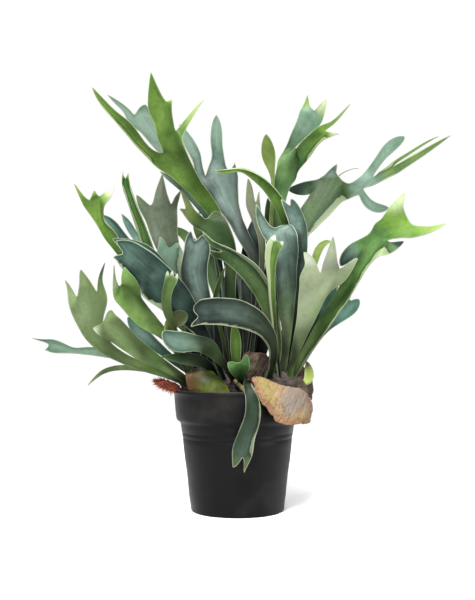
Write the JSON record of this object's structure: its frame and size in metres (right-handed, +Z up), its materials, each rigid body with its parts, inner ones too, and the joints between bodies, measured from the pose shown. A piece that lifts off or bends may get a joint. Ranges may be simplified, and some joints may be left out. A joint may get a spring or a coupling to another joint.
{
  "type": "potted staghorn fern",
  "caption": "Staghorn fern with forked grey-green antler fronds and papery shield fronds, growing from its rhizome in a round black plastic nursery pot of soil.",
  "frame": {"origin": "centre of the pot's flat foot, on the surface it stands on", "axes": "+Z up, the tallest way; the plant is seen from the front along +Y, with +X to its right"},
  "size_m": [0.5655, 0.3079, 0.5732],
  "materials": {
    "pot_plastic": "soft satin moulded plastic, unmarked",
    "soil": "damp dark bark and peat crumbs",
    "rhizome": "dark brown, ribbed and hairy",
    "fibre": "rust-red loose fibre",
    "shield_dry": "dry papery tan, darker ribs, frayed edge",
    "shield_live": "waxy olive green going brown at the foot",
    "frond": "leathery, pale bloom above, felted sage beneath, pale rims"
  },
  "bodies": {
    "root": {"pot": "pot_plastic", "soil": "soil", "rhizome": "rhizome", "fibreTuft": "fibre", "shieldTan": "shield_dry", "shieldGreen": "shield_live", "frond_tallLeft": "frond", "frond_greyBehind": "frond", "frond_blueCentre": "frond", "frond_curledTip": "frond", "frond_blueRight": "frond", "frond_darkRight": "frond", "frond_paleCurl": "frond", "frond_sageRight": "frond", "frond_greenRight": "frond", "frond_archingSage": "frond", "frond_broadUpper": "frond", "frond_greenUpper": "frond", "frond_smallTip": "frond", "frond_paleTip": "frond", "frond_darkCentre": "frond", "frond_greenMid": "frond", "frond_sageMid": "frond", "frond_paleFold": "frond", "frond_blueMid": "frond", "frond_darkLeft": "frond", "frond_upperLeft": "frond", "frond_centreBlade": "frond", "frond_toothed": "frond", "frond_greenLobe": "frond", "frond_sageNear": "frond", "frond_foldLeft": "frond", "frond_youngGreen": "frond", "frond_smallPair": "frond", "frond_darkLance": "frond", "frond_sageBig": "frond", "frond_sageFront": "frond", "frond_blueFar": "frond", "frond_thinArch": "frond", "frond_forkLeft": "frond", "frond_darkLobe": "frond", "frond_narrowGreen": "frond", "frond_blueBack": "frond", "frond_greyStrip": "frond", "frond_backLobe": "frond", "frond_darkBetween": "frond", "frond_hookTip": "frond", "frond_smallPale": "frond", "frond_thinSpike": "frond", "frond_droopFront": "frond", "frond_innerLeft": "frond", "frond_innerRight": "frond", "frond_backTallLeft": "frond", "frond_backTallRight": "frond", "frond_backFarRight": "frond", "frond_backFarLeft": "frond", "frond_backCentre": "frond", "frond_backLow": "frond", "frond_backLowRight": "frond", "frond_backLowLeft": "frond"}
  },
  "joints": []
}
